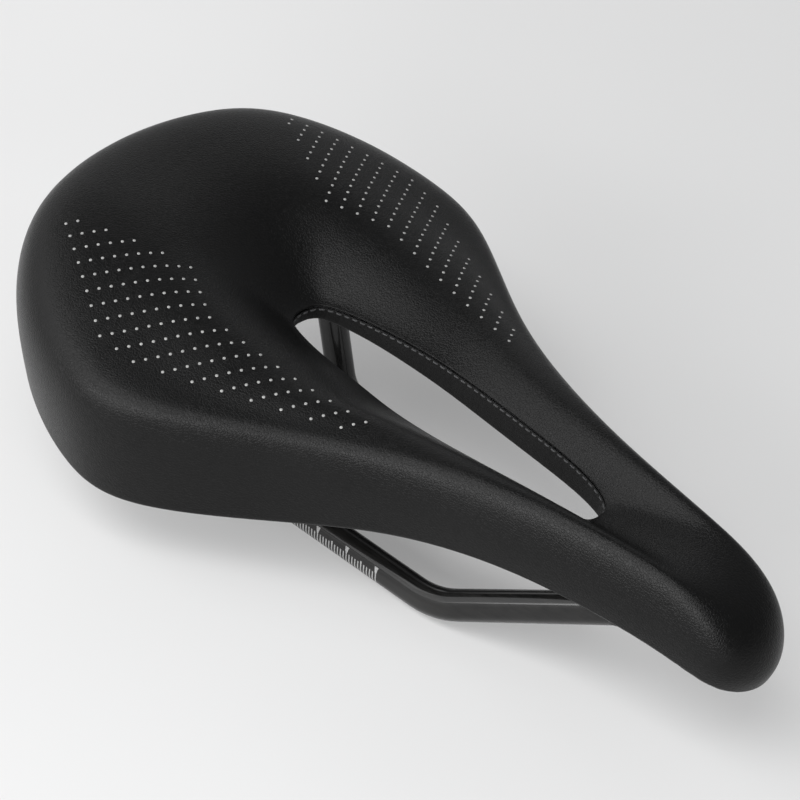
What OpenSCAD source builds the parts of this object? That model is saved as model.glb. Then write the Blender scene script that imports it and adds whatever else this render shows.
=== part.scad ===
// Short-nose road bicycle saddle with a through cut-out, on two oval rails.
// Millimetres. +X forward to the nose, +Y to the rider's left, +Z up.
// The origin is the middle of the rail clamp zone, midway between the rails.

/* [Padded top] */
// Overall length, rear edge to nose tip
saddle_length = 242; // [230:1:270]
// Overall width across the wings
saddle_width = 142; // [128:1:160]
// Thickness of the cover material
cover_t = 1.2; // [0.8:0.1:1.8]
// Padding thickness under the crests, cover included
pad_t = 9; // [6:0.5:14]
// Wall thickness of the base shell
shell_t = 2; // [1.5:0.1:3]
// Width of the cover's edge turned in under the shell
hem_w = 9; // [6:1:14]

/* [Rails] */
// Rail section width, across the saddle
rail_w = 7; // [7:0.1:7.1]
// Rail section height
rail_h = 9; // [7:0.1:10]
// Distance between the two rail centre lines at the clamp
rail_gap = 44; // [43:0.5:45]
// Length of the straight clamp zone
clamp_len = 62; // [50:1:75]
// Bend radius at the rear end of the clamp zone
rear_bend_r = 12; // [12:1:20]
// Angle of the rear leg above horizontal, degrees
rear_leg_a = 75; // [45:1:80]
// Bend radius at the front end of the clamp zone
front_bend_r = 27; // [15:1:40]
// Rise of the front leg for each mm forward
front_rise = 0.49; // [0.3:0.01:0.6]
// Inward run of the front leg for each mm forward
front_run = 0.27; // [0.15:0.01:0.35]

/* [Details] */
// Distance between two neighbouring scale marks on the rails
mark_pitch = 1.1; // [1:0.05:1.2]
// Diameter of one printed dot on the cover
dot_d = 0.85; // [0.6:0.05:1.5]
// Length of one stitch along the cut-out's seam
stitch_len = 1.8; // [1.5:0.1:4]
// Space between one stitch and the next
stitch_gap = 0.7; // [0.6:0.1:2]

/* [Hidden] */
$fn = 48;

sx = saddle_length / 242;
sy = saddle_width / 142;
// air left between two layers
gap = 0.15;

// ---- lines of the padded top ------------------------------------------------
// Twelve stations on the left half, from the rear centre to the nose centre:
// outline x, outline y, cut-out x, cut-out y,
// heights of seam, lip, inner crest, outer crest, shoulder, side and hem, and liner height
lines = [
    [-115,  0,    -38.4,0,    43.5,44.5,62,  66.5,70,  50,  42.5,5],
    [-109,  33,   -37.4,4.8,  43.5,44.5,62,  67.5,69,  49,  38.5,5],
    [-97.5, 51,   -34.2,7.2,  43.5,44.5,61,  65,  64.5,46.5,31,  5.6],
    [-78,   65,   -21.4,10.4, 43.5,44.5,58.5,58,  58,  43.5,23.5,6.8],
    [-55.5, 71,   -3.5, 12,   43.5,44.5,55,  50,  51.5,41.5,16,  8.6],
    [-35.5, 70.5, 8,    12.8, 42.5,44,  52.5,46.5,47,  38.5,13.5,9.2],
    [-1,    45.5, 24,   12,   42,  43.5,50,  46.5,45.5,36.5,17,  9.8],
    [28.5,  31,   41,   10.1, 42,  43,  48.5,48.5,46,  35,  24.5,9.6],
    [63.5,  20.5, 56.5, 8.4,  41.5,42.2,46.8,49.5,45,  33,  27.5,9.2],
    [107.5, 14.5, 66,   6.4,  39.8,40.8,44.8,49,  42.5,30.5,26,  8.2],
    [122.5, 13.5, 70,   3.6,  38.8,40.3,43.8,47,  39,  27.5,22,  8],
    [129,   0,    70.2, 0,    38.8,40.3,43.3,45.5,36.5,25,  19,  8]];
last = len(lines) - 1;
turns = 2 * last;
// where the seven section points lie between the cut-out (0) and the outline (1)
share = [0, 0.05, 0.35, 0.7, 0.97, 1.03, 0.99];

function wide(k) = norm([sx * (lines[k][0] - lines[k][2]), sy * (lines[k][1] - lines[k][3])]);

// section point lists [distance from the cut-out, height] of each layer
function sec_outer(k) = let (w = wide(k)) [for (j = [0:6]) [share[j] * w, lines[k][4 + j]]];
function sec_under(k, t) = let (c = sec_outer(k), n = [[0.4, -0.9], [0.3, -1], [0, -1], [0, -1],
    [-0.6, -0.85], [-1, -0.1], [-1, 0]]) [for (j = [0:6]) c[j] + t * n[j]];
function sec_foam(k) = let (c = sec_under(k, cover_t + gap), z = lines[k])
    concat([[1.55, z[4] - cover_t - gap], [c[1][0] + 0.9, c[1][1]]], [for (j = [2:6]) c[j]]);
function sec_shell(k) = let (w = wide(k), z = lines[k], lip = z[4] - z[11] + 3.1) [
    [1.4, lip], [max(2.6, 0.12 * w), lip + 0.5],
    [0.35 * w + 0.5, z[6] - 0.85 * pad_t], [0.7 * w - 0.6, z[7] - pad_t],
    [0.97 * w - 4.5, z[8] - pad_t], [1.03 * w - 4.2, max(z[9] - 1, z[10] + 4.5)],
    [0.99 * w - 3.4, z[10] + 2.6]];
function sec_shell_low(k, t) = let (c = sec_shell(k), n = [[0, -0.9], [0, -0.95], [0, -1.05],
    [-0.1, -1.05], [-0.65, -0.85], [-1, -0.3], [-1, 0]]) [for (j = [0:6]) c[j] + t * n[j]];

// ---- splines ------------------------------------------------------------------
function b4(t) = [pow(1 - t, 3) / 6, (3 * t * t * t - 6 * t * t + 4) / 6,
    (-3 * t * t * t + 3 * t * t + 3 * t + 1) / 6, t * t * t / 6];
function at_end(c, j) = j < 0 ? 2 * c[0] - c[1] : j > 6 ? 2 * c[6] - c[5] : c[j];
function spline(c, r) = let (i = min(floor(r), 5), b = b4(r - i))
    b[0] * at_end(c, i - 1) + b[1] * at_end(c, i) + b[2] * at_end(c, i + 1) + b[3] * at_end(c, i + 2);
function run(c, r0, r1, n) = [for (i = [0:n]) spline(c, r0 + (r1 - r0) * i / n)];

// one section point into space, at a station of the left half
function place(k, p) = let (s = lines[k], w = wide(k), f = p[0] / w)
    [sx * (s[2] + (s[0] - s[2]) * f), sy * (s[3] + (s[1] - s[3]) * f), p[1]];
// all stations round the loop, the right half mirrored
function all_round(left) = [for (k = [0:turns - 1]) k <= last ? left[k] :
    [for (p = left[turns - k]) [p[0], -p[1], p[2]]]];
function blend(st, u) = let (i = floor(u), b = b4(u - i), n = len(st),
    s0 = st[(i + n - 1) % n], s1 = st[i % n], s2 = st[(i + 1) % n], s3 = st[(i + 2) % n])
    [for (m = [0:len(s0) - 1]) b[0] * s0[m] + b[1] * s1[m] + b[2] * s2[m] + b[3] * s3[m]];

// closed ring body: one section per step round the loop
module ring_body(left, steps) {
    st = all_round(left);
    n = turns * steps;
    m = len(st[0]);
    pts = [for (i = [0:n - 1]) each blend(st, i / steps)];
    tri = [for (i = [0:n - 1], j = [0:m - 1]) let (a = i * m + j, b = i * m + (j + 1) % m,
        c = ((i + 1) % n) * m + (j + 1) % m, d = ((i + 1) % n) * m + j)
        each [[a, b, c], [a, c, d]]];
    polyhedron(points = pts, faces = tri, convexity = 8);
}
function back(a) = [for (i = [len(a) - 1:-1:0]) a[i]];

// ---- a point on a layer, found from its place in plan ---------------------------
net_outer = all_round([for (k = [0:last]) [for (p = sec_outer(k)) place(k, p)]]);
net_low = all_round([for (k = [0:last]) [for (p = sec_shell_low(k, shell_t)) place(k, p)]]);
function on_net(net, u, r) = spline(blend(net, u), r);
function clip(v, a, b) = max(a, min(b, v));
function seek(net, x, y, u, r, n) = n == 0 ? [u, r] : let (p = on_net(net, u, r),
    pu = (on_net(net, u + 0.01, r) - p) / 0.01, pr = (on_net(net, u, r + 0.01) - p) / 0.01,
    ex = x - p[0], ey = y - p[1], d = pu[0] * pr[1] - pr[0] * pu[1],
    du = (ex * pr[1] - pr[0] * ey) / d, dr = (pu[0] * ey - ex * pu[1]) / d)
    seek(net, x, y, clip(u + clip(du, -0.6, 0.6), 0.001, last - 0.001),
        clip(r + clip(dr, -0.7, 0.7), 0.001, 5.98), n - 1);
// height of the shell's underside over a point of the plan
function low_z(x, y, u) = let (q = seek(net_low, x, max(abs(y), 0.01), u, 1.6, 9))
    on_net(net_low, q[0], q[1])[2];

// ---- padded top -------------------------------------------------------------------
function hem_top(k) = run(sec_shell_low(k, shell_t + gap), 6 - hem_w / 9, 6, 4);
function hem_low(k) = run(sec_shell_low(k, shell_t + gap + cover_t * 0.9), 6, 6 - hem_w / 9, 4);

module cover() {
    color([0.05, 0.05, 0.055])
    ring_body([for (k = [0:last]) let (o = sec_outer(k), e = o[6], s = sec_shell(k)[6])
        [for (p = concat(run(o, 0, 6, 17),
            [[e[0] - 0.7, e[1] - 0.6], [e[0] - 3, e[1] - 0.7], [s[0] - shell_t - 0.9, e[1] + 0.4]],
            hem_low(k), hem_top(k),
            [[s[0] - shell_t + 0.1, s[1] - gap - 0.5], [s[0] + 0.6, s[1] - gap - 0.5]],
            back(run(sec_under(k, cover_t), 0, 6, 14)))) place(k, p)]], 4);
}

module foam_pad() {
    color([0.35, 0.35, 0.36])
    ring_body([for (k = [0:last])
        [for (p = concat(run(sec_foam(k), 0, 6, 14), back(run(sec_shell_low(k, -gap - 0.1), 0, 6, 12))))
            place(k, p)]], 4);
}

module shell() {
    color([0.09, 0.09, 0.1])
    ring_body([for (k = [0:last])
        [for (p = concat(run(sec_shell(k), 0, 6, 12),
            back(run(sec_shell_low(k, shell_t), 0, 6, 12)))) place(k, p)]], 4);
}

module cutout_liner() {
    color([0.06, 0.06, 0.065])
    ring_body([for (k = [0:last]) let (z = lines[k][4] - cover_t - 0.4, b = lines[k][4] - lines[k][11],
        h = sec_shell_low(k, shell_t + gap), g = sec_shell_low(k, shell_t + gap + 0.9))
        [for (p = concat([[1.2, z], [0.1, z], [0, (z + b) / 2], [0.2, b + 0.7], [0.7, b + 0.15]],
            run(g, 0.2, 1.1, 3), back(run(h, 0, 1.1, 3)), [[1.2, b + 1.4]])) place(k, p)]], 4);
}

// stitches lie round the top of the cut-out's wall, just under the cover's lip
module cutout_stitching() {
    st = all_round([for (k = [0:last]) let (z = lines[k][4]) [place(k, [-0.33, z - 1.3])]]);
    line = [for (i = [0:turns * 8]) blend(st, (i / 8) % turns)[0]];
    run_len = [for (i = 0, s = 0; i < len(line);
        s = s + (i + 1 < len(line) ? norm(line[i + 1] - line[i]) : 0), i = i + 1) s];
    total = run_len[len(run_len) - 1];
    count = floor(total / (stitch_len + stitch_gap));
    color([0.5, 0.5, 0.5])
    for (i = [0:count - 1]) {
        a = on_line(line, run_len, i * total / count);
        b = on_line(line, run_len, i * total / count + stitch_len);
        rod(a, b, 0.24);
    }
}
function on_line(line, s, d) = let (i = search_len(s, d, 0, len(s) - 1),
    f = (d - s[i]) / (s[i + 1] - s[i])) line[i] + f * (line[i + 1] - line[i]);
function search_len(s, d, a, b) = b - a <= 1 ? a : let (m = floor((a + b) / 2))
    s[m] <= d ? search_len(s, d, m, b) : search_len(s, d, a, m);
module rod(a, b, r) {
    v = b - a;
    translate(a) rotate([0, acos(v[2] / norm(v)), atan2(v[1], v[0])]) cylinder(r = r, h = norm(v), $fn = 16);
}

// printed dots: rows step forward and out, columns step forward and in
function first_dot(r) = r < 9 ? 0 : r < 11 ? r - 8 : 2 * (r - 9);
function last_dot(r) = r < 5 ? 2 * r + 1 : r < 9 ? 9 : r + 1;
module dots() {
    for (r = [0:17], c = [first_dot(r):last_dot(r)]) {
        x = sx * (-87.2 + 4.15 * r + 1.65 * c);
        y = sy * (42.1 + 2.07 * r - 2.78 * c);
        q = seek(net_outer, x, y, 3.4, 3, 8);
        p = on_net(net_outer, q[0], q[1]);
        a = on_net(net_outer, q[0] + 0.02, q[1]) - p;
        b = on_net(net_outer, q[0], q[1] + 0.02) - p;
        v0 = cross(b, a);
        v = v0[2] < 0 ? -v0 / norm(v0) : v0 / norm(v0);
        translate(p + 0.03 * v) rotate([0, acos(v[2]), atan2(v[1], v[0])])
            cylinder(d = dot_d, h = 0.12, $fn = 16);
    }
}
module dot_print_left() { color([0.8, 0.8, 0.8]) dots(); }
module dot_print_right() { color([0.8, 0.8, 0.8]) mirror([0, 1, 0]) dots(); }

// ---- rails ------------------------------------------------------------------------
hc = clamp_len / 2;
// the section: flat sides, round top and bottom; x is across, y is up
module oval(e = 0) {
    h = rail_h / 2 - rail_w / 2;
    square([rail_w + 2 * e, 2 * h], center = true);
    for (s = [-1, 1]) translate([0, s * h]) circle(d = rail_w + 2 * e);
}
leg_v = [1, -front_run, front_rise];
leg_n = leg_v / norm(leg_v);
leg_a = acos(leg_n[0]);
leg_t = atan2(front_run, front_rise);
bend_t = front_bend_r * tan(leg_a / 2);
// where the two straight lines of the front bend would meet
knee_x = hc + bend_t;
front_len = (94 * sx - knee_x) / leg_n[0] - bend_t;
rear_len = (38 - rear_bend_r * (1 - cos(rear_leg_a))) / sin(rear_leg_a);

// the section stood across +X, then pushed forward
module push(h, e = 0) { rotate([90, 0, 90]) linear_extrude(h) oval(e); }
// front leg's own frame, at the end of the bend
module at_front_leg() {
    translate([hc, 0, 0]) rotate([leg_t, 0, 0])
        translate([0, 0, front_bend_r]) rotate([0, -leg_a, 0]) translate([0, 0, -front_bend_r])
            rotate([-leg_t, 0, 0]) children();
}
module at_rear_leg() {
    translate([-hc, 0, rear_bend_r]) rotate([0, rear_leg_a, 0]) translate([0, 0, -rear_bend_r]) children();
}
// one rail as a closed body, swept along legs, bends and clamp zone
oval_pts = [for (s = [0, 1], i = [0:13]) let (t = 180 * s + 180 * i / 13)
    [rail_w / 2 * cos(t), (1 - 2 * s) * (rail_h - rail_w) / 2 + rail_w / 2 * sin(t)]];
function rear_ring(a, more) = [for (p = oval_pts) [-hc - rear_bend_r * sin(a) - more * cos(a) + p[1] * sin(a),
    p[0], rear_bend_r * (1 - cos(a)) + more * sin(a) + p[1] * cos(a)]];
function front_ring(a, more) = let (w = [0, -sin(leg_t), cos(leg_t)], n = [0, cos(leg_t), sin(leg_t)],
    v = [cos(a), 0, 0] + sin(a) * w, up = cos(a) * w - [sin(a), 0, 0],
    c = [hc + front_bend_r * sin(a), 0, 0] + front_bend_r * (1 - cos(a)) * w + more * v)
    [for (p = oval_pts) c + p[0] * (cos(leg_t) * n - sin(leg_t) * up) + p[1] * (sin(leg_t) * n + cos(leg_t) * up)];
module rail() {
    stack(concat([rear_ring(rear_leg_a, rear_len)],
        [for (i = [12:-1:0]) rear_ring(rear_leg_a * i / 12, 0)],
        [for (i = [0:7]) front_ring(leg_a * i / 7, 0)], [front_ring(leg_a, front_len)]));
}
module rail_left() { color([0.03, 0.03, 0.03]) translate([0, rail_gap / 2, 0]) rail(); }
module rail_right() { color([0.03, 0.03, 0.03]) mirror([0, 1, 0]) translate([0, rail_gap / 2, 0]) rail(); }

// scale on the outer side: long marks every ten, middle marks every five
module marks() {
    for (i = [-20:20]) {
        big = i % 10 == 0;
        top = big ? 2.2 : abs(i % 10) == 5 ? 1.1 : 0.5;
        head = big ? 0.7 : 0.2;
        x = -2.7 + i * mark_pitch;
        intersection() {
            translate([x - 1, 0, 0]) rotate([90, 0, 90]) linear_extrude(2) difference() { oval(0.07); oval(0.01); }
            translate([0, rail_w / 2 + 1, 0]) rotate([90, 0, 0]) linear_extrude(2.2) polygon([[x - 0.2, -2.3],
                [x + 0.2, -2.3], [x + 0.2, top - 2], [x + head, top], [x - head, top], [x - 0.2, top - 2]]);
        }
    }
}
module scale_marks_left() { color([0.75, 0.75, 0.75]) translate([0, rail_gap / 2, 0]) marks(); }
module scale_marks_right() {
    color([0.75, 0.75, 0.75]) mirror([0, 1, 0]) translate([0, rail_gap / 2, 0]) marks();
}

// ---- sockets under the shell ---------------------------------------------------------
module stack(rings) {
    m = len(rings[0]);
    n = len(rings);
    polyhedron(points = [for (r = rings) each r], faces = concat(
        [[for (j = [0:m - 1]) j]],
        [for (i = [0:n - 2], j = [0:m - 1]) let (a = i * m + j, b = i * m + (j + 1) % m) each
            [[a, a + m, b + m], [a, b + m, b]]],
        [[for (j = [m - 1:-1:0]) (n - 1) * m + j]]), convexity = 6);
}
function loop_at(cx, cy, a, b) = [for (i = [0:27]) let (t = i * 360 / 28) [cx + a * cos(t), cy + b * sin(t)]];
function flat(l, z) = [for (p = l) [p[0], p[1], z]];
function under(l, d, u) = [for (p = l) [p[0], p[1], low_z(p[0], p[1], u) - d]];

function leg_x(z) = -hc - rear_bend_r * sin(rear_leg_a)
    - (z - rear_bend_r * (1 - cos(rear_leg_a))) / tan(rear_leg_a);
module rear_socket() {
    x0 = leg_x(30);
    x1 = leg_x(36);
    y0 = rail_gap / 2;
    difference() {
        stack([flat(loop_at(x0, y0, 6.9, 5.7), 30), flat(loop_at(x1, y0, 8, 6.8), 36),
            under(loop_at(x1 - 1, y0, 10, 8), 4, 4), under(loop_at(x1 - 2, y0, 13, 10), 2, 4),
            under(loop_at(x1 - 2, y0, 13.4, 10.4), 0.4, 4), under(loop_at(x1 - 2, y0, 9, 7), 0.4, 4),
            under(loop_at(x1 - 2, y0, 4, 3), 0.4, 4)]);
        translate([0, y0, 0]) at_rear_leg() translate([-rear_len - 0.2, 0, 0]) push(rear_len, 0.1);
    }
}
module rear_socket_left() { color([0.07, 0.07, 0.07]) rear_socket(); }
module rear_socket_right() { color([0.07, 0.07, 0.07]) mirror([0, 1, 0]) rear_socket(); }

function front_z(x) = front_rise * (x - knee_x);
module nose_socket() {
    color([0.07, 0.07, 0.07])
    difference() {
        stack([for (s = [[86.5, 12.8, 5.8], [87.5, 13.5, 6.8], [90, 13.5, 7.1], [94, 12.9, 7.2],
            [98.5, 11.3, 6.4], [102.5, 9.2, 4.4], [105, 6.6, 2.4]]) let (x = s[0] * sx, w = s[1], zb = front_z(x))
            concat([for (i = [-4:4]) [x, -w * i / 4, low_z(x, w * i / 4, 8.5) - 0.3]],
                [for (i = [-4:4]) [x, w * i / 4, min(low_z(x, w * i / 4, 8.5) - 0.8,
                    zb - s[2] + 3.2 * pow(abs(i) / 4, 4) + (x > 93 * sx ? 0.7 * (93 * sx - x) * 0.3 : 0))]])]);
        for (s = [0, 1]) mirror([0, s, 0]) translate([0, rail_gap / 2, 0])
            at_front_leg() translate([0.2, 0, 0]) push(front_len, 0.1);
    }
}

shell();
foam_pad();
cover();
cutout_liner();
cutout_stitching();
rail_left();
rail_right();
nose_socket();
rear_socket_left();
rear_socket_right();
scale_marks_left();
scale_marks_right();
dot_print_left();
dot_print_right();
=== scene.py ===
import math

import bmesh
import bpy
import numpy as np
from mathutils import Euler, Matrix, Vector


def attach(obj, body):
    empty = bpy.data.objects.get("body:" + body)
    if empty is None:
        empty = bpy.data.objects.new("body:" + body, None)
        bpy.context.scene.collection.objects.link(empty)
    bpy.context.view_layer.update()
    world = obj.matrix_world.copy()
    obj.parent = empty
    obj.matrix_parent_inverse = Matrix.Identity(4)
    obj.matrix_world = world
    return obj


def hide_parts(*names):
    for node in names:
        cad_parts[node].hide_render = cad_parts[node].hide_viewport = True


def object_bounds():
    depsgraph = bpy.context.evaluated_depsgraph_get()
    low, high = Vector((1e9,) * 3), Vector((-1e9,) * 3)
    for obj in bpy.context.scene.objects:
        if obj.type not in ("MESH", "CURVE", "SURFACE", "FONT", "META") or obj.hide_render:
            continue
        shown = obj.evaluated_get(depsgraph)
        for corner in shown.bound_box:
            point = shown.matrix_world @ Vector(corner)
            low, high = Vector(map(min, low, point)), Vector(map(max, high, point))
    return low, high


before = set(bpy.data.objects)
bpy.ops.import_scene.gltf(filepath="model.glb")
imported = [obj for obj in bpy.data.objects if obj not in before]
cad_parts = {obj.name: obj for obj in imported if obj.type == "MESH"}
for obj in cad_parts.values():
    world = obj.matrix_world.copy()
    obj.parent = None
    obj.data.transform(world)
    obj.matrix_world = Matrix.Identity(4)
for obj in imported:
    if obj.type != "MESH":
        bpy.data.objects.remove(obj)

# Looks of the road saddle. +X to the nose, +Y to the rider's left, +Z up; the origin is the
# middle of the rail clamp zone. Shapes are worked out in millimetres and built in metres.
MM = 0.001
CAD_BOX = [[float(v) for v in corner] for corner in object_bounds()]

# ---- driving dimensions, as in part.scad ------------------------------------------------
COVER_T = 1.2
PAD_T = 9.0
SHELL_T = 2.0
HEM_W = 9.0
GAP = 0.15
RAIL_W = 7.0
RAIL_H = 9.0
RAIL_GAP = 44.0
CLAMP_HALF = 31.0
REAR_BEND_R = 12.0
REAR_LEG_A = math.radians(75)
FRONT_BEND_R = 27.0
FRONT_RISE = 0.49
FRONT_RUN = 0.27
MARK_PITCH = 1.1
DOT_D = 0.85
STITCH_LEN = 1.8
STITCH_GAP = 0.7

# Twelve stations on the left half, from the rear centre to the nose centre:
# outline x, outline y, cut-out x, cut-out y,
# heights of seam, lip, inner crest, outer crest, shoulder, side and hem, and liner height
LINES = np.array([
    [-115, 0, -38.4, 0, 43.5, 44.5, 62, 66.5, 70, 50, 42.5, 5],
    [-109, 33, -37.4, 4.8, 43.5, 44.5, 62, 67.5, 69, 49, 38.5, 5],
    [-97.5, 51, -34.2, 7.2, 43.5, 44.5, 61, 65, 64.5, 46.5, 31, 5.6],
    [-78, 65, -21.4, 10.4, 43.5, 44.5, 58.5, 58, 58, 43.5, 23.5, 6.8],
    [-55.5, 71, -3.5, 12, 43.5, 44.5, 55, 50, 51.5, 41.5, 16, 8.6],
    [-35.5, 70.5, 8, 12.8, 42.5, 44, 52.5, 46.5, 47, 38.5, 13.5, 9.2],
    [-1, 45.5, 24, 12, 42, 43.5, 50, 46.5, 45.5, 36.5, 17, 9.8],
    [28.5, 31, 41, 10.1, 42, 43, 48.5, 48.5, 46, 35, 24.5, 9.6],
    [63.5, 20.5, 56.5, 8.4, 41.5, 42.2, 46.8, 49.5, 45, 33, 27.5, 9.2],
    [107.5, 14.5, 66, 6.4, 39.8, 40.8, 44.8, 49, 42.5, 30.5, 26, 8.2],
    [122.5, 13.5, 70, 3.6, 38.8, 40.3, 43.8, 47, 39, 27.5, 22, 8],
    [129, 0, 70.2, 0, 38.8, 40.3, 43.3, 45.5, 36.5, 25, 19, 8]])
# where the seven section points lie between the cut-out (0) and the outline (1)
SHARE = np.array([0, 0.05, 0.35, 0.7, 0.97, 1.03, 0.99])
LAST = len(LINES) - 1
TURNS = 2 * LAST
WIDE = np.hypot(LINES[:, 0] - LINES[:, 2], LINES[:, 1] - LINES[:, 3])


# ---- sections of the layers, [distance from the cut-out, height] ---------------------------
def outer_section(k):
    return np.c_[SHARE * WIDE[k], LINES[k, 4:11]]


def under_section(k, depth):
    inward = [[0.4, -0.9], [0.3, -1], [0, -1], [0, -1], [-0.6, -0.85], [-1, -0.1], [-1, 0]]
    return outer_section(k) + depth * np.array(inward)


def foam_section(k):
    c = under_section(k, COVER_T + GAP)
    c[0] = [1.55, LINES[k, 4] - COVER_T - GAP]
    c[1, 0] += 0.9
    return c


def shell_section(k):
    w = WIDE[k]
    seam, _, inner, crest, shoulder, side, hem, liner = LINES[k, 4:]
    lip = seam - liner + 3.1
    return np.array([
        [1.4, lip], [max(2.6, 0.12 * w), lip + 0.5],
        [0.35 * w + 0.5, inner - 0.85 * PAD_T], [0.7 * w - 0.6, crest - PAD_T],
        [0.97 * w - 4.5, shoulder - PAD_T], [1.03 * w - 4.2, max(side - 1, hem + 4.5)],
        [0.99 * w - 3.4, hem + 2.6]])


def shell_low_section(k, depth):
    inward = [[0, -0.9], [0, -0.95], [0, -1.05], [-0.1, -1.05], [-0.65, -0.85], [-1, -0.3], [-1, 0]]
    return shell_section(k) + depth * np.array(inward)


# ---- splines --------------------------------------------------------------------------------
def basis(t):
    return np.array([(1 - t) ** 3, 3 * t ** 3 - 6 * t * t + 4,
                     -3 * t ** 3 + 3 * t * t + 3 * t + 1, t ** 3]) / 6


def loop_weights(us):
    """Weights of the stations, for places us round the loop."""
    w = np.zeros((len(us), TURNS))
    for row, u in enumerate(us):
        i = int(math.floor(u))
        for j, b in enumerate(basis(u - i)):
            w[row, (i - 1 + j) % TURNS] += b
    return w


def span_weights(rs):
    """Weights of the seven section points, with the points past both ends reflected."""
    reach = np.zeros((9, 7))
    reach[1:8] = np.eye(7)
    reach[0, :2] = 2, -1
    reach[8, 5:] = -1, 2
    w = np.zeros((len(rs), 9))
    for row, r in enumerate(rs):
        i = min(int(r), 5)
        w[row, i:i + 4] += basis(r - i)
    return w @ reach


def run(section, r0, r1, steps):
    return span_weights(np.linspace(r0, r1, steps + 1)) @ section


def place(k, points):
    """Section points of a station of the left half, out in space."""
    f = points[:, :1] / WIDE[k]
    xy = LINES[k, 2:4] + (LINES[k, :2] - LINES[k, 2:4]) * f
    return np.c_[xy, points[:, 1]]


def all_round(section):
    """A section at every station, the right half mirrored."""
    left = [place(k, section(k)) for k in range(LAST + 1)]
    return np.array(left + [left[k] * [1, -1, 1] for k in range(LAST - 1, 0, -1)])


def ring(section, us):
    return np.einsum("uk,kmc->umc", loop_weights(us), all_round(section))


def rounded(points, times, closed=False):
    """Cuts the corners of a line of points; an open line keeps its ends."""
    p = np.asarray(points, float)
    for _ in range(times):
        q = np.roll(p, -1, 0) if closed else p[1:]
        a = p if closed else p[:-1]
        cut = np.stack([0.75 * a + 0.25 * q, 0.25 * a + 0.75 * q], 1).reshape(-1, *p.shape[1:])
        p = cut if closed else np.concatenate([p[:1], cut, p[-1:]])
    return p


def steps_round(per_station):
    return np.arange(TURNS * per_station) / per_station


NET_OUTER = all_round(outer_section)
NET_LOW = all_round(lambda k: shell_low_section(k, SHELL_T))


def on_net(net, u, r):
    """Point on a layer at place u round the loop and r across the section."""
    return loop_weights([u])[0] @ np.tensordot(net, span_weights([r])[0], axes=(1, 0))


def seek(net, x, y, u, r, rounds=9):
    """Place (u, r) on a layer of the left half that lies over the plan point (x, y)."""
    d = 0.01
    for _ in range(rounds):
        p = on_net(net, u, r)
        pu = (on_net(net, u + d, r) - p) / d
        pr = (on_net(net, u, r + d) - p) / d
        det = pu[0] * pr[1] - pr[0] * pu[1]
        ex, ey = x - p[0], y - p[1]
        u = np.clip(u + np.clip((ex * pr[1] - pr[0] * ey) / det, -0.6, 0.6), 0.001, LAST - 0.001)
        r = np.clip(r + np.clip((pu[0] * ey - ex * pu[1]) / det, -0.7, 0.7), 0.001, 5.98)
    return u, r


def low_z(x, y, u):
    """Height of the shell's underside over a point of the plan."""
    u, r = seek(NET_LOW, x, max(abs(y), 0.01), u, 1.6)
    return on_net(NET_LOW, u, r)[2]


def outer_frame(u, r):
    """Point on the padded top and its outward normal."""
    d = 0.02
    p = on_net(NET_OUTER, u, r)
    n = np.cross(on_net(NET_OUTER, u, r + d) - p, on_net(NET_OUTER, u + d, r) - p)
    n /= np.linalg.norm(n)
    return p, n * (1 if n[2] > 0 else -1)


# ---- meshes ---------------------------------------------------------------------------------
def grid_faces(n, m, wrap_m=True):
    """Quads over n rings of m points, closed round the rings and, if asked, along them."""
    i, j = np.meshgrid(np.arange(n), np.arange(m if wrap_m else m - 1), indexing="ij")
    i2, j2 = (i + 1) % n, (j + 1) % m
    return np.stack([i * m + j, i2 * m + j, i2 * m + j2, i * m + j2], -1).reshape(-1, 4)


def unit(v):
    return v / np.maximum(np.linalg.norm(v, axis=-1, keepdims=True), 1e-9)


def grid_normals(p, along):
    """Normals of a grid of points that is closed round axis 0; along is its step on axis 1."""
    return unit(np.cross(along, np.roll(p, -1, 0) - np.roll(p, 1, 0)))


def tube(rings):
    """Points and faces of a closed stack of rings, with both ends filled."""
    n, m = len(rings), len(rings[0])
    quads = grid_faces(n, m)[:(n - 1) * m].tolist()
    ends = [list(range(m)), [(n - 1) * m + j for j in range(m - 1, -1, -1)]]
    return np.concatenate(rings), quads + ends


def join(parts):
    """Several (points, faces) as one."""
    points, faces, start = [], [], 0
    for p, f in parts:
        points.append(p)
        faces += [[start + v for v in face] for face in f]
        start += len(p)
    return np.concatenate(points), faces


def make(name, shape, material, replaced=(), sharp=35):
    """A piece on the root body, from (points in mm, faces), with faces turned outward."""
    points, faces = shape
    mesh = bpy.data.meshes.new(name)
    mesh.from_pydata((np.asarray(points) * MM).tolist(), [], [list(map(int, f)) for f in faces])
    bm = bmesh.new()
    bm.from_mesh(mesh)
    bmesh.ops.recalc_face_normals(bm, faces=bm.faces)
    if bm.calc_volume(signed=True) < 0:
        bmesh.ops.reverse_faces(bm, faces=bm.faces)
    bm.to_mesh(mesh)
    bm.free()
    mesh.shade_smooth()
    mesh.set_sharp_from_angle(angle=math.radians(sharp))
    obj = bpy.data.objects.new(name, mesh)
    bpy.context.scene.collection.objects.link(obj)
    mesh.materials.append(material)
    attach(obj, "root")
    if replaced:
        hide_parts(*replaced)
    return obj


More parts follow.
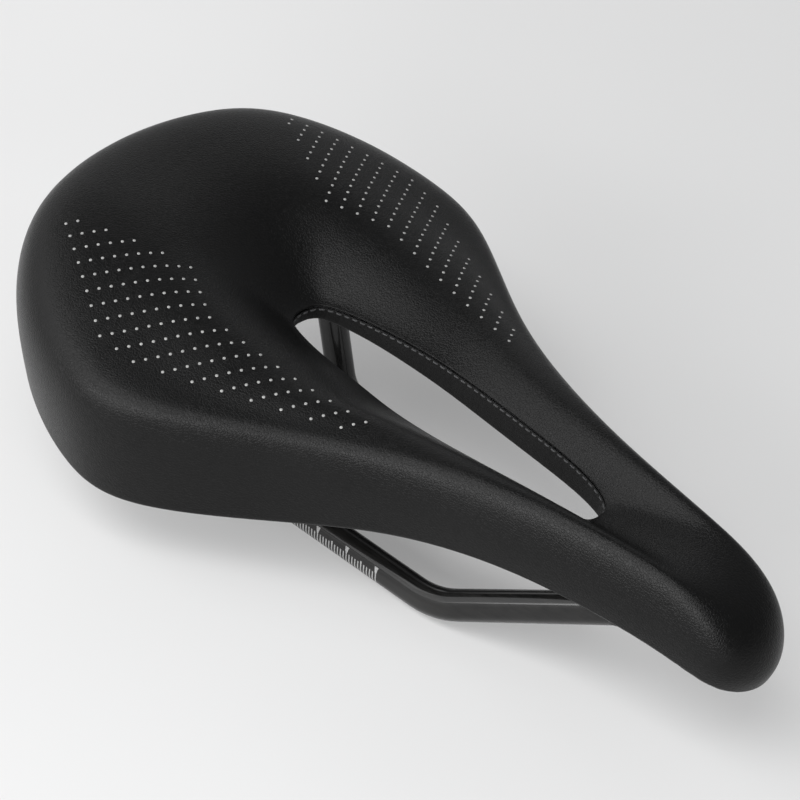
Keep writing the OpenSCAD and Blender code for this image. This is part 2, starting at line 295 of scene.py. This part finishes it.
# ---- materials ------------------------------------------------------------------------------
class Look:
    """A material's node tree, with short ways to add and join nodes."""

    def __init__(self, name, **constant):
        self.mat = bpy.data.materials.new(name)
        self.mat.use_nodes = True
        self.tree = self.mat.node_tree
        self.shader = self.tree.nodes["Principled BSDF"]
        for socket, value in constant.items():
            self.shader.inputs[socket.replace("_", " ")].default_value = value
        self.place = self.add("ShaderNodeTexCoord").outputs["Object"]

    def add(self, kind, inputs=(), **attrs):
        node = self.tree.nodes.new(kind)
        for key, value in attrs.items():
            setattr(node, key, value)
        for key, value in dict(inputs).items():
            if isinstance(value, bpy.types.NodeSocket):
                self.tree.links.new(value, node.inputs[key])
            else:
                node.inputs[key].default_value = value
        return node

    def noise(self, scale, detail=2, rough=0.5, at=None):
        return self.add("ShaderNodeTexNoise", {"Vector": at or self.place, "Scale": scale,
                                               "Detail": detail, "Roughness": rough}).outputs["Fac"]

    def cells(self, scale, feature="F1", at=None, random=1.0):
        return self.add("ShaderNodeTexVoronoi", {"Vector": at or self.place, "Scale": scale,
                                                 "Randomness": random}, feature=feature).outputs["Distance"]

    def ranged(self, value, low, high, to_low, to_high):
        return self.add("ShaderNodeMapRange", {"Value": value, "From Min": low, "From Max": high,
                                               "To Min": to_low, "To Max": to_high}).outputs["Result"]

    def math(self, kind, a, b=0.0):
        return self.add("ShaderNodeMath", {0: a, 1: b}, operation=kind).outputs[0]

    def stretched(self, x, y, z):
        return self.add("ShaderNodeMapping", {"Vector": self.place, "Scale": (x, y, z)}).outputs[0]

    def warped(self, scale, amount):
        """The place, pushed about by noise, so that a pattern isn't regular."""
        noise = self.add("ShaderNodeTexNoise", {"Vector": self.place, "Scale": scale, "Detail": 1})
        push = self.add("ShaderNodeVectorMath", {0: noise.outputs["Color"], 1: (0.5, 0.5, 0.5)},
                        operation="SUBTRACT").outputs[0]
        push = self.add("ShaderNodeVectorMath", {0: push, "Scale": amount}, operation="SCALE").outputs[0]
        return self.add("ShaderNodeVectorMath", {0: self.place, 1: push}, operation="ADD").outputs[0]

    def colour(self, value, *stops):
        ramp = self.add("ShaderNodeValToRGB", {"Fac": value})
        spare = ramp.color_ramp.elements
        for i, (at, rgb) in enumerate(stops):
            stop = spare[i] if i < 2 else spare.new(at)
            stop.position = at
            stop.color = (*rgb, 1)
        self.tree.links.new(ramp.outputs["Color"], self.shader.inputs["Base Color"])
        return ramp

    def rough(self, value):
        self.tree.links.new(value, self.shader.inputs["Roughness"])

    def bump(self, height, strength, depth, under=None):
        node = self.add("ShaderNodeBump", {"Height": height, "Strength": strength, "Distance": depth})
        if under:
            self.tree.links.new(under, node.inputs["Normal"])
        self.tree.links.new(node.outputs["Normal"], self.shader.inputs["Normal"])
        return node.outputs["Normal"]


def leather(name, dark, light, rough_low, rough_high, grain):
    look = Look(name, Specular_IOR_Level=0.2)
    at = look.warped(700, 0.0006)
    creases = look.ranged(look.cells(1300, "DISTANCE_TO_EDGE", at), 0.0, 0.16, 0.0, 1.0)
    pebble = look.cells(2300, "SMOOTH_F1", at)
    fine = look.noise(5200, 3)
    height = look.math("ADD", look.math("MULTIPLY", creases, 0.5), look.math("MULTIPLY", pebble, -0.6))
    height = look.math("ADD", height, look.math("MULTIPLY", fine, 0.45))
    patches = look.noise(38, 4)
    # Colour mixes random patches of tone, which are real, with the grain's creases. The creases come out
    # darker, and that darkening is painted shade in the creases.
    look.colour(look.math("ADD", look.math("MULTIPLY", patches, 0.7), look.math("MULTIPLY", creases, 0.3)),
                (0.3, dark), (0.8, light))
    look.rough(look.ranged(look.math("ADD", patches, look.math("MULTIPLY", fine, 0.6)),
                           0.55, 1.1, rough_low, rough_high))
    look.bump(height, grain, 0.00018)
    return look.mat


def foam_look():
    look = Look("foam_cells", Specular_IOR_Level=0.2)
    pores = look.cells(900)
    # Colour is darker in the pores, which the bump sinks: this is painted shade in the pores' hollows.
    look.colour(pores, (0.1, (0.05, 0.05, 0.052)), (0.7, (0.13, 0.13, 0.135)))
    look.rough(look.ranged(look.noise(300), 0.3, 0.7, 0.82, 0.95))
    look.bump(pores, 0.7, 0.0004)
    return look.mat


def moulded(name, dark, light, rough_low, rough_high, flecks):
    """Fibre-filled plastic: fine moulded texture with short fibres that show as flecks."""
    look = Look(name, Specular_IOR_Level=0.45)
    fibres = look.noise(1, 3, 0.6, look.stretched(240, 900, 900))
    cloud = look.noise(60, 3)
    mix = look.math("ADD", look.math("MULTIPLY", fibres, flecks), look.math("MULTIPLY", cloud, 1 - flecks))
    look.colour(mix, (0.35, dark), (0.75, light))
    look.rough(look.ranged(cloud, 0.35, 0.65, rough_low, rough_high))
    texture = look.noise(2600, 2)
    look.bump(look.math("ADD", texture, look.math("MULTIPLY", cloud, 0.6)), 0.18, 0.00012)
    return look.mat


def carbon_look():
    """Lengthwise fibres under a clear gloss coat that isn't quite level."""
    look = Look("rail_carbon_fibre", Specular_IOR_Level=0.12, Coat_Weight=0.65, Coat_Roughness=0.1,
                Coat_IOR=1.5)
    strands = look.noise(1, 4, 0.65, look.stretched(70, 1400, 1400))
    tows = look.noise(1, 2, 0.5, look.stretched(90, 260, 260))
    look.colour(look.math("ADD", look.math("MULTIPLY", strands, 0.5), look.math("MULTIPLY", tows, 0.5)),
                (0.38, (0.002, 0.002, 0.002)), (0.7, (0.011, 0.0105, 0.01)))
    look.rough(look.ranged(strands, 0.3, 0.7, 0.28, 0.5))
    look.bump(look.math("ADD", tows, look.math("MULTIPLY", strands, 0.25)), 0.3, 0.0004)
    return look.mat


def thread_look():
    look = Look("sewing_thread", Specular_IOR_Level=0.4, Sheen_Weight=0.15)
    fuzz = look.noise(9000, 2)
    look.colour(fuzz, (0.3, (0.035, 0.035, 0.037)), (0.7, (0.085, 0.085, 0.088)))
    look.rough(look.ranged(fuzz, 0.3, 0.7, 0.5, 0.7))
    look.bump(fuzz, 0.5, 0.00006)
    return look.mat


def ink_look(name, dark, light, scale):
    look = Look(name, Specular_IOR_Level=0.35)
    wear = look.noise(scale, 3, 0.6)
    look.colour(wear, (0.3, dark), (0.6, light))
    look.rough(look.ranged(wear, 0.3, 0.7, 0.42, 0.6))
    look.bump(wear, 0.25, 0.00004)
    return look.mat


def floor_look():
    look = Look("studio_floor", Specular_IOR_Level=0.1, Emission_Color=(1, 1, 1, 1), Emission_Strength=0.25)
    cloud = look.noise(3, 3)
    look.colour(cloud, (0.3, (0.48, 0.48, 0.48)), (0.7, (0.52, 0.52, 0.52)))
    look.rough(look.ranged(cloud, 0.3, 0.7, 0.7, 0.8))
    return look.mat


COVER_LEATHER = leather("cover_leather", (0.0016, 0.0016, 0.0016), (0.003, 0.003, 0.003), 0.28, 0.37, 0.45)
LINER_LEATHER = leather("liner_leather", (0.004, 0.004, 0.0041), (0.008, 0.0078, 0.0078), 0.46, 0.6, 0.6)
CARBON = carbon_look()
COMPOSITE = moulded("shell_composite", (0.010, 0.010, 0.0105), (0.026, 0.026, 0.027), 0.34, 0.46, 0.65)
SOCKET_PLASTIC = moulded("socket_plastic", (0.012, 0.012, 0.012), (0.024, 0.024, 0.024), 0.4, 0.55, 0.3)


# ---- padded top -------------------------------------------------------------------------------
PUCKER = 0.05
PLEAT = 0.22
COVER_COLUMNS = steps_round(24)
COVER_ROWS = np.concatenate([np.linspace(0, 0.9, 15), np.linspace(1, 6, 52)])


def cover_profile(k):
    """Once round the cover's section: top, roll under the hem, turned-in edge, back, seam edge."""
    o = outer_section(k)
    e, seam = o[6], o[0]
    s = shell_section(k)[6]
    top = span_weights(COVER_ROWS) @ o
    low = run(shell_low_section(k, SHELL_T + GAP + COVER_T * 0.9), 6, 6 - HEM_W / 9, 6)
    high = run(shell_low_section(k, SHELL_T + GAP), 6 - HEM_W / 9, 6, 4)
    roll = [[e[0] - 0.7, e[1] - 0.6], [e[0] - 3, e[1] - 0.7], [s[0] - SHELL_T - 0.9, e[1] + 0.4]]
    turn = [[s[0] - SHELL_T + 0.1, s[1] - GAP - 0.5], [s[0] + 0.6, s[1] - GAP - 0.5]]
    hem = rounded(np.concatenate([top[-2:], roll, low, high, turn]), 2)
    inside = run(under_section(k, COVER_T), 6, 0.4, 14)
    edge = rounded([inside[-1], seam + [0.75, -0.95], seam + [0.3, -0.62], seam + [-0.06, -0.45],
                    seam + [-0.1, -0.12], seam], 2)
    return np.concatenate([top[:-2], hem, inside[:-1], edge[:-1]])


def lengths(line):
    """Distance along a closed line of each of its points, and its whole length."""
    steps = np.linalg.norm(np.roll(line, -1, 0) - line, axis=1)
    return np.concatenate([[0], np.cumsum(steps)[:-1]]), steps.sum()


def along_seam(columns):
    """Distance along the seam of each column of a grid, as one column of numbers."""
    return lengths(ring(outer_section, columns)[:, 0])[0][:, None]


def near_end(u, centre, reach):
    """1 at a place of the loop, falling smoothly to 0."""
    away = np.abs((u - centre + TURNS / 2) % TURNS - TURNS / 2)
    return np.exp(-(away / reach) ** 2)


def leather_relief(p):
    """Height of the leather's own relief at each point: puckered at the cut-out's ends, and
    gathered where the hem turns round the nose and the wings."""
    s = along_seam(COVER_COLUMNS)
    step = np.linalg.norm(np.diff(p, axis=1), axis=2)
    out = np.concatenate([np.zeros((len(p), 1)), np.cumsum(step, 1)], 1)
    relief = np.zeros(p.shape[:2])
    top = slice(0, len(COVER_ROWS))
    d = out[:, top]
    fan = 0.5 * np.cos(s * 2.1 + 0.4) + 0.3 * np.cos(s * 3.3 + 1.7 + 0.05 * d) + 0.2 * np.cos(s * 5.2)
    ends = near_end(COVER_COLUMNS, 0, 1.1) + 0.6 * near_end(COVER_COLUMNS, LAST, 0.9)
    relief[:, top] += PUCKER * ends[:, None] * fan * np.exp(-((d - 1.6) / 1.6) ** 2)
    hem = slice(len(COVER_ROWS) + 4, len(COVER_ROWS) + 34)
    q = np.linspace(0, 1, hem.stop - hem.start)[None]
    tight = 0.25 + near_end(COVER_COLUMNS, LAST, 2.2) + 0.6 * near_end(COVER_COLUMNS, 2, 2) \
        + 0.6 * near_end(COVER_COLUMNS, TURNS - 2, 2)
    outline = np.linalg.norm(np.diff(p[:, len(COVER_ROWS)], axis=0, append=p[:1, len(COVER_ROWS)]), axis=1)
    h = np.cumsum(outline)[:, None]
    pleats = np.cos(h * 1.15 + 1.5 * np.cos(h * 0.09)) * 0.7 + 0.3 * np.cos(h * 2.4 + 0.7)
    relief[:, hem] += PLEAT * tight[:, None] * pleats * np.sin(np.pi * q) ** 1.5
    return relief


def build_cover():
    p = ring(cover_profile, COVER_COLUMNS)
    normals = grid_normals(p, np.gradient(p, axis=1))
    if normals[:, len(COVER_ROWS) // 2, 2].mean() < 0:
        normals = -normals
    p = p + normals * leather_relief(p)[..., None]
    n, m = p.shape[:2]
    cover = make("cover_skin", (p.reshape(-1, 3), grid_faces(n, m)), COVER_LEATHER,
                 ["cover"], sharp=60)


def foam_profile(k):
    below = run(shell_section(k), 0, 6, 24) + [0, GAP]
    return np.concatenate([run(foam_section(k), 0, 6, 30), below[::-1]])


def build_foam():
    p = ring(foam_profile, steps_round(8))
    n, m = p.shape[:2]
    foam = make("foam_core", (p.reshape(-1, 3), grid_faces(n, m)), foam_look(), ["foam_pad"],
                sharp=50)


def shell_profile(k):
    top = run(shell_section(k), 0, 6, 40)
    low = run(shell_low_section(k, SHELL_T), 6, 0, 40)
    outer_edge = rounded([top[-2], top[-1], low[0], low[1]], 2)[1:-1]
    inner_edge = rounded([low[-2], low[-1], top[0], top[1]], 2)[1:-1]
    return np.concatenate([top[1:-1], outer_edge, low[1:-1], inner_edge])


def build_shell():
    p = ring(shell_profile, steps_round(14))
    n, m = p.shape[:2]
    make("base_shell", (p.reshape(-1, 3), grid_faces(n, m)), COMPOSITE, ["shell"])


# ---- cut-out: liner and stitches ------------------------------------------------------------------
LINER_T = 0.9
LINER_RIPPLE = 0.1
THREAD_R = 0.12
PLIES = 3
TWIST = 1.6


def liner_profile(k):
    top = LINES[k, 4]
    z = top - COVER_T - 0.35
    b = top - LINES[k, 11]
    h = z - b
    inner = shell_low_section(k, SHELL_T + GAP)
    outer = shell_low_section(k, SHELL_T + GAP + LINER_T)
    wall = [[1.2, z], [0.5, z + 0.1], [0.2, top - 1.0], [-0.1, top - 0.85], [-0.32, top - 1.05],
            [-0.3, top - 1.6], [-0.18, top - 2.3], [-0.16, z - 0.45 * h],
            [0.02, b + 1.1], [0.3, b + 0.45], [0.8, b + 0.05]]
    under = np.concatenate([run(outer, 0.25, 1.1, 3), run(inner, 1.1, 0, 3), [[1.2, b + 1.4]]])
    return rounded(np.concatenate([wall, under]), 2, closed=True)


def build_liner():
    us = steps_round(20)
    p = ring(liner_profile, us)
    s = along_seam(us)
    rows = np.linspace(0, 1, p.shape[1])[None]
    bend = 0.35 + near_end(us, 0, 1.2) + near_end(us, LAST, 1.0)
    ripple = 0.6 * np.cos(s * 1.3 + 0.6) + 0.4 * np.cos(s * 2.9 + 2)
    wall = np.exp(-((rows - 0.3) / 0.16) ** 2)   # most on the wall, none on the hem
    normals = grid_normals(p, np.roll(p, -1, 1) - np.roll(p, 1, 1))
    p = p + normals * (LINER_RIPPLE * bend[:, None] * ripple * wall)[..., None]
    n, m = p.shape[:2]
    make("cutout_liner_skin", (p.reshape(-1, 3), grid_faces(n, m)), LINER_LEATHER,
         ["cutout_liner"], sharp=60)


def stitch(line, normal, side, s0):
    """One stitch of twisted plies that dives into the leather at both ends."""
    steps = 14
    strands = []
    for ply in range(PLIES):
        rings = []
        for i in range(steps + 1):
            t = i / steps
            s = s0 + STITCH_LEN * t
            p, n, w = line(s), normal(s), side(s)
            lift = 0.1 - 0.45 * abs(2 * t - 1) ** 5
            a = 2 * math.pi * (ply / PLIES + TWIST * t)
            centre = p + n * (lift + THREAD_R * math.sin(a)) + w * THREAD_R * math.cos(a)
            rings.append(np.array([centre + THREAD_R * 1.05 * (math.cos(b) * w + math.sin(b) * n)
                                   for b in np.arange(7) * 2 * math.pi / 7]))
        strands.append(tube(rings))
    return join(strands)


def build_stitches():
    """Stitches along the top of the cut-out's wall, just below the cover's lip."""
    us = steps_round(24)
    rows = ring(lambda k: np.array([[-0.3, LINES[k, 4] - 1.35], [-0.28, LINES[k, 4] - 1.9]]), us)
    line, below = rows[:, 0], rows[:, 1]
    ahead = np.roll(line, -1, 0) - np.roll(line, 1, 0)
    side = below - line
    inward = unit(np.cross(side, ahead))
    if (inward[0] @ (line[len(line) // 2] - line[0])) < 0:
        inward = -inward
    side = unit(np.cross(inward, ahead))
    along, total = lengths(line)
    count = int(total / (STITCH_LEN + STITCH_GAP))
    stops = np.append(along, total)

    def at(values):
        closed = np.append(values, values[:1], 0)
        return lambda s: np.array([np.interp(s % total, stops, closed[:, c]) for c in range(3)])
    place_on, out, across = at(line), at(inward), at(side)
    stitches = [stitch(place_on, out, across, i * total / count) for i in range(count)]
    make("seam_stitches", join(stitches), thread_look(), ["cutout_stitching"], sharp=80)


# ---- printed dots ---------------------------------------------------------------------------------
def first_dot(row):
    return 0 if row < 9 else row - 8 if row < 11 else 2 * (row - 9)


def last_dot(row):
    return 2 * row + 1 if row < 5 else 9 if row < 9 else row + 1


def dot(x, y):
    """A thin domed spot of ink lying on the leather."""
    u, r = seek(NET_OUTER, x, y, 3.4, 3)
    p, n = outer_frame(u, r)
    a = np.cross(n, [1, 0, 0])
    a /= np.linalg.norm(a)
    b = np.cross(n, a)
    turn = np.arange(16) * math.pi / 8
    rings = []
    for radius, height in ((1.0, -0.05), (1.0, 0.03), (0.86, 0.075), (0.5, 0.09), (0.12, 0.095)):
        rim = radius * DOT_D / 2
        rings.append(np.array([p + n * height + rim * (math.cos(t) * a + math.sin(t) * b) for t in turn]))
    return tube(rings)


def build_dots():
    left = join([dot(-87.2 + 4.15 * r + 1.65 * c, 42.1 + 2.07 * r - 2.78 * c)
                 for r in range(18) for c in range(first_dot(r), last_dot(r) + 1)])
    ink = ink_look("dot_ink", (0.24, 0.24, 0.24), (0.36, 0.36, 0.35), 1500)
    for side, name in ((1, "left"), (-1, "right")):
        make("dots_" + name, (left[0] * [1, side, 1], left[1]), ink, ["dot_print_" + name],
             sharp=60)


# ---- rails ------------------------------------------------------------------------------------------
LEG_V = np.array([1, -FRONT_RUN, FRONT_RISE])
LEG_N = LEG_V / np.linalg.norm(LEG_V)
LEG_A = math.acos(LEG_N[0])
LEG_T = math.atan2(FRONT_RUN, FRONT_RISE)
BEND_T = FRONT_BEND_R * math.tan(LEG_A / 2)
KNEE_X = CLAMP_HALF + BEND_T
FRONT_END_X = 94
REAR_TOP_Z = 38
FRONT_LEN = (FRONT_END_X - KNEE_X) / LEG_N[0] - BEND_T
REAR_LEN = (REAR_TOP_Z - REAR_BEND_R * (1 - math.cos(REAR_LEG_A))) / math.sin(REAR_LEG_A)


def oval_points(extra=0.0, count=22):
    """Rail section: flat sides, round top and bottom; x across, y up."""
    r = RAIL_W / 2 + extra
    half = (RAIL_H - RAIL_W) / 2
    pts = []
    for top in (1, -1):
        for t in np.linspace(0, math.pi, count):
            pts.append([top * r * math.cos(t), top * (half + r * math.sin(t))])
    return np.array(pts)


def rear_ring(oval, a, more):
    x = -CLAMP_HALF - REAR_BEND_R * math.sin(a) - more * math.cos(a) + oval[:, 1] * math.sin(a)
    z = REAR_BEND_R * (1 - math.cos(a)) + more * math.sin(a) + oval[:, 1] * math.cos(a)
    return np.c_[x, oval[:, 0], z]


def front_ring(oval, a, more):
    w = np.array([0, -math.sin(LEG_T), math.cos(LEG_T)])
    n = np.array([0, math.cos(LEG_T), math.sin(LEG_T)])
    ex = np.array([1, 0, 0])
    ahead = math.cos(a) * ex + math.sin(a) * w
    up = math.cos(a) * w - math.sin(a) * ex
    centre = np.array([CLAMP_HALF + FRONT_BEND_R * math.sin(a), 0, 0]) \
        + FRONT_BEND_R * (1 - math.cos(a)) * w + more * ahead
    across = math.cos(LEG_T) * n - math.sin(LEG_T) * up
    rise = math.sin(LEG_T) * n + math.cos(LEG_T) * up
    return centre + oval[:, :1] * across + oval[:, 1:] * rise


def rail_rings(extra=0.0):
    oval = oval_points(extra)
    rings = [rear_ring(oval, REAR_LEG_A, REAR_LEN * t) for t in np.linspace(1, 0, 8)]
    rings += [rear_ring(oval, REAR_LEG_A * t, 0) for t in np.linspace(1, 0, 22)[1:]]
    rings += [front_ring(oval, 0, -2 * CLAMP_HALF * t) for t in np.linspace(1, 0, 20)[1:]]
    rings += [front_ring(oval, LEG_A * t, 0) for t in np.linspace(0, 1, 14)[1:]]
    rings += [front_ring(oval, LEG_A, FRONT_LEN * t) for t in np.linspace(0, 1, 12)[1:]]
    return [r + [0, RAIL_GAP / 2, 0] for r in rings]


def build_rails():
    points, faces = tube(rail_rings())
    for side, name in ((1, "left"), (-1, "right")):
        make("carbon_rail_" + name, (points * [1, side, 1], faces), CARBON,
             ["rail_" + name], sharp=40)


def side_y(z, lift):
    """How far out the rail's outer side is at height z, with ink of thickness lift on it."""
    half = (RAIL_H - RAIL_W) / 2
    r = RAIL_W / 2
    over = max(abs(z) - half, 0)
    return RAIL_GAP / 2 + math.sqrt(r * r - over * over) + lift


def scale_mark(x, top, head):
    """One printed line up the rail's outer side; its top end widens to the head's half width."""
    front, back = [], []
    for z in np.linspace(-2.6, top, 14):
        half = 0.2 + (head - 0.2) * max(0.0, (z - top + 2) / 2)
        front.append([[x - half, side_y(z, 0.05), z], [x + half, side_y(z, 0.05), z]])
        back.append([[x + half, side_y(z, -0.02), z], [x - half, side_y(z, -0.02), z]])
    return tube([np.array(f + b) for f, b in zip(front, back)])


def build_marks():
    marks = []
    for i in range(-20, 21):
        top, head = (2.5, 0.7) if i % 10 == 0 else (1.2, 0.28) if i % 5 == 0 else (0.6, 0.2)
        marks.append(scale_mark(-2.7 + i * MARK_PITCH, top, head))
    points, faces = join(marks)
    ink = ink_look("mark_ink", (0.2, 0.2, 0.2), (0.34, 0.34, 0.34), 2500)
    for side, name in ((1, "left"), (-1, "right")):
        make("scale_" + name, (points * [1, side, 1], faces), ink, ["scale_marks_" + name],
             sharp=50)


# ---- sockets ------------------------------------------------------------------------------------------
HOLE_AIR = 0.1


def ellipse(cx, cy, a, b, count=48):
    t = np.arange(count) * 2 * math.pi / count
    return np.c_[cx + a * np.cos(t), cy + b * np.sin(t)]


def level(plan, z):
    return np.c_[plan, np.full(len(plan), float(z))]


def below_shell(plan, drop, u):
    return np.c_[plan, [low_z(x, y, u) - drop for x, y in plan]]


def leg_x(z):
    return -CLAMP_HALF - REAR_BEND_R * math.sin(REAR_LEG_A) \
        - (z - REAR_BEND_R * (1 - math.cos(REAR_LEG_A))) / math.tan(REAR_LEG_A)


def cut_hole(obj, rings):
    """Takes the rail's shape out of a socket."""
    points, faces = tube(rings)
    mesh = bpy.data.meshes.new("hole_cutter")
    mesh.from_pydata((points * MM).tolist(), [], faces)
    bm = bmesh.new()
    bm.from_mesh(mesh)
    bmesh.ops.recalc_face_normals(bm, faces=bm.faces)
    bm.to_mesh(mesh)
    bm.free()
    cutter = bpy.data.objects.new("hole_cutter", mesh)
    bpy.context.scene.collection.objects.link(cutter)
    hole = obj.modifiers.new("hole", "BOOLEAN")
    hole.operation = "DIFFERENCE"
    hole.solver = "EXACT"
    hole.object = cutter
    bpy.context.view_layer.objects.active = obj
    bpy.ops.object.modifier_apply(modifier="hole")
    bpy.data.objects.remove(cutter)
    bpy.data.meshes.remove(mesh)
    obj.data.shade_smooth()
    obj.data.set_sharp_from_angle(angle=math.radians(40))


def build_rear_sockets():
    x0, x1, y0 = leg_x(30), leg_x(36), RAIL_GAP / 2
    rings = [level(ellipse(x, y0, a, b), z) for x, a, b, z in (
        (x0, 5.9, 4.9, 30), (x0, 6.7, 5.5, 30.1), (x0, 6.9, 5.7, 30.8), (x1, 8, 6.8, 36))]
    rings += [below_shell(ellipse(x1 - back, y0, a, b), drop, 4) for back, a, b, drop in (
        (1, 10, 8, 4), (2, 12.6, 9.7, 2.1), (2, 13.2, 10.2, 1.2), (2, 13.4, 10.4, 0.4),
        (2, 13, 10, 0.2), (2, 9, 7, 0.2), (2, 4, 3, 0.2))]
    points, faces = tube(rounded(np.array(rings), 2))
    holes = rail_rings(HOLE_AIR)
    for side, name in ((1, "left"), (-1, "right")):
        socket = make("rear_boss_" + name, (points * [1, side, 1], faces), SOCKET_PLASTIC,
                      ["rear_socket_" + name])
        cut_hole(socket, [h * [1, side, 1] for h in holes])


def nose_ring(x, half, deep):
    """Section of the nose socket across the saddle: along the shell, then round underneath."""
    middle = FRONT_RISE * (x - KNEE_X)
    ys = np.linspace(half, -half, 17)
    top = [[x, y, low_z(x, y, 8.5) - 0.2] for y in ys]
    low = []
    for y in ys[::-1]:
        z = middle - deep + 3.2 * abs(y / half) ** 4 - 0.21 * max(x - 93, 0)
        low.append([x, y, min(low_z(x, y, 8.5) - 0.8, z)])
    return np.array(top + low)


def build_nose_socket():
    rings = [nose_ring(*s) for s in ((86.5, 12.2, 4.8), (86.6, 12.6, 5.4), (87.5, 13.1, 6.0), (90, 13.1, 6.2),
                                     (94, 12.4, 6.2), (98.5, 10.8, 5.4), (102.5, 8.8, 3.6), (104.6, 6.6, 2.2),
                                     (105, 5.6, 1.6))]
    socket = make("nose_boss", tube(rounded(np.array(rings), 1)), SOCKET_PLASTIC,
                  ["nose_socket"])
    for side in (1, -1):
        cut_hole(socket, [h * [1, side, 1] for h in rail_rings(HOLE_AIR)])


build_cover()
build_foam()
build_shell()
build_liner()
build_stitches()
build_dots()
build_rails()
build_marks()
build_rear_sockets()
build_nose_socket()


# ---- studio -----------------------------------------------------------------------------------------
def toward(azimuth, elevation):
    a, e = math.radians(azimuth), math.radians(elevation)
    return Vector((math.cos(a) * math.cos(e), math.sin(a) * math.cos(e), math.sin(e)))


def softbox(name, azimuth, elevation, distance, width, height, watts):
    light = bpy.data.lights.new(name, "AREA")
    light.shape = "RECTANGLE"
    light.size, light.size_y = width, height
    light.energy = watts
    obj = bpy.data.objects.new(name, light)
    bpy.context.scene.collection.objects.link(obj)
    direction = toward(azimuth, elevation)
    obj.location = Vector((0, 0, 0.04)) + direction * distance
    obj.rotation_euler = direction.to_track_quat("Z", "Y").to_euler()


LIGHTS = [
    ("softbox_left", -132, 20, 1.4, 1.3, 0.7, 3.8),
    ("softbox_corner", -140, 48, 1.4, 1.0, 0.7, 5.0),
    ("softbox_high", -84, 62, 1.4, 1.2, 0.8, 10),
    ("softbox_front", -86, 17, 1.4, 1.6, 0.7, 20),
    ("softbox_side", 90, 35, 1.4, 1.0, 0.8, 0.5),
    ("softbox_rear", 140, 25, 1.4, 1.0, 0.8, 1.5),
    ("softbox_tail", 178, 20, 1.4, 1.0, 0.8, 1.7),
]
for row in LIGHTS:
    softbox(*row)

world = bpy.data.worlds.new("studio")
world.use_nodes = True
world.node_tree.nodes["Background"].inputs["Color"].default_value = (0.97, 0.98, 1, 1)
world.node_tree.nodes["Background"].inputs["Strength"].default_value = 0.24
bpy.context.scene.world = world

FLOOR_HALF = 5.0
floor_mesh = bpy.data.meshes.new("floor")
floor_z = CAD_BOX[0][2] - 0.0001
corners = [(x * FLOOR_HALF, y * FLOOR_HALF, floor_z) for x, y in ((-1, -1), (1, -1), (1, 1), (-1, 1))]
floor_mesh.from_pydata(corners, [], [(0, 1, 2, 3)])
floor = bpy.data.objects.new("floor", floor_mesh)
floor_mesh.materials.append(floor_look())
bpy.context.scene.collection.objects.link(floor)

# The camera stands to the front right of the saddle, looking down on it.
CAMERA_AT = (0.3781, -0.4330, 0.4703)
CAMERA_AZIMUTH = -48.88
CAMERA_ELEVATION = 37.16
CAMERA_ROLL = 5.17
camera_data = bpy.data.cameras.new("camera")
camera_data.lens = 121.5
camera_data.sensor_width = 36
camera = bpy.data.objects.new("camera", camera_data)
bpy.context.scene.collection.objects.link(camera)
turned = Euler((math.radians(90 - CAMERA_ELEVATION), 0, math.radians(90 + CAMERA_AZIMUTH))).to_matrix() \
    @ Matrix.Rotation(math.radians(CAMERA_ROLL), 3, "Z")
camera.matrix_world = Matrix.Translation(CAMERA_AT) @ turned.to_4x4()
bpy.context.scene.camera = camera
bpy.context.scene.view_settings.view_transform = "Standard"
